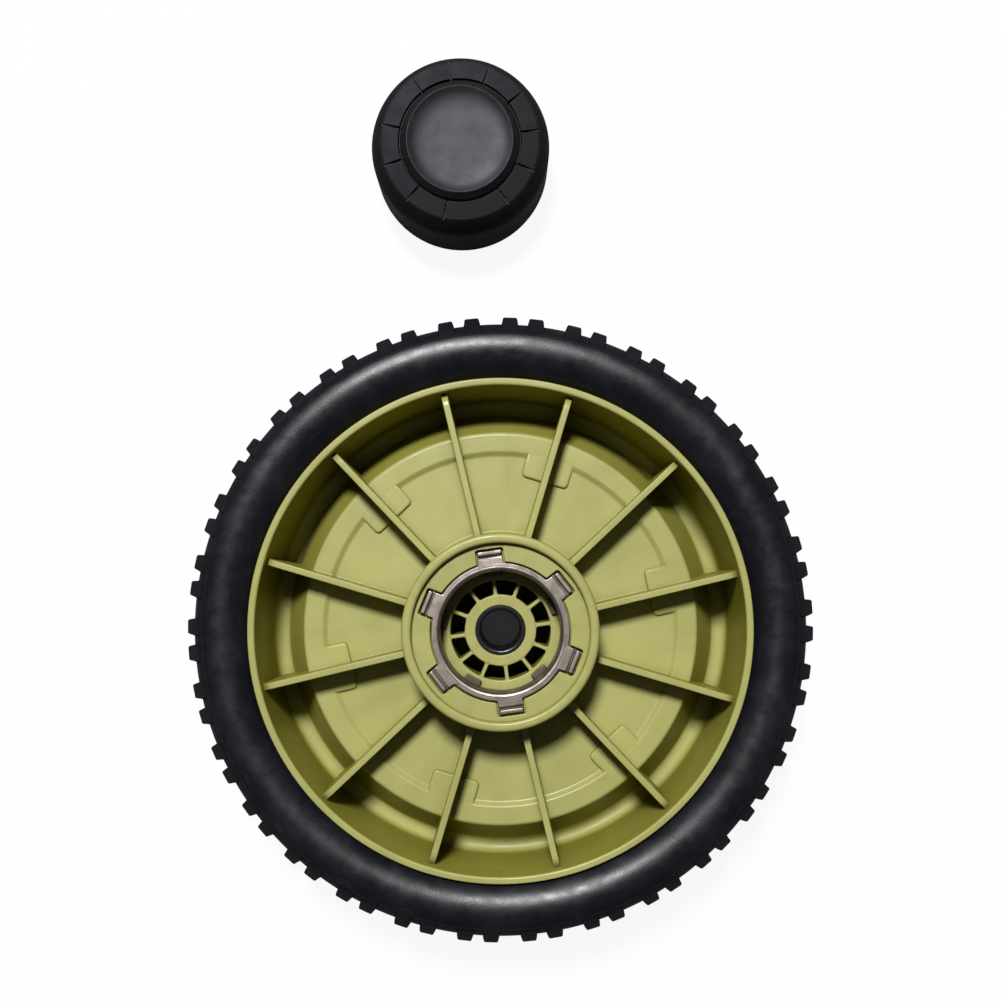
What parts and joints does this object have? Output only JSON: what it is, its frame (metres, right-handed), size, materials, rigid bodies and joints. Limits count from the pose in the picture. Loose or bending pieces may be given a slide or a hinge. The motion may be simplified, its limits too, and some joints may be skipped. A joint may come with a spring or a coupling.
{
  "type": "lawn mower wheel",
  "caption": "Small mower wheel lying flat: black block-tread tyre on a ribbed green rim, a tabbed steel ring in the hub, a sleeve bush for the axle and a loose black hub cap beside it.",
  "frame": {"origin": "on the axle's axis at the middle of the tyre's width", "axes": "+Z along the axle, from the wheel's outer side to its inner, machine side; the hub cap lies beside the wheel towards +Y"},
  "size_m": [0.203, 0.2935, 0.0517],
  "materials": {
    "tyre": "satin, lightly scuffed",
    "rim": "satin moulded",
    "ring_steel": "bright zinc plated",
    "bush": "satin, greased",
    "cap": "satin, worn"
  },
  "bodies": {
    "root": {"tyre": "tyre", "rim": "rim", "drive_ring": "ring_steel", "axle_bush": "bush", "hub_cap": "cap"}
  },
  "joints": []
}
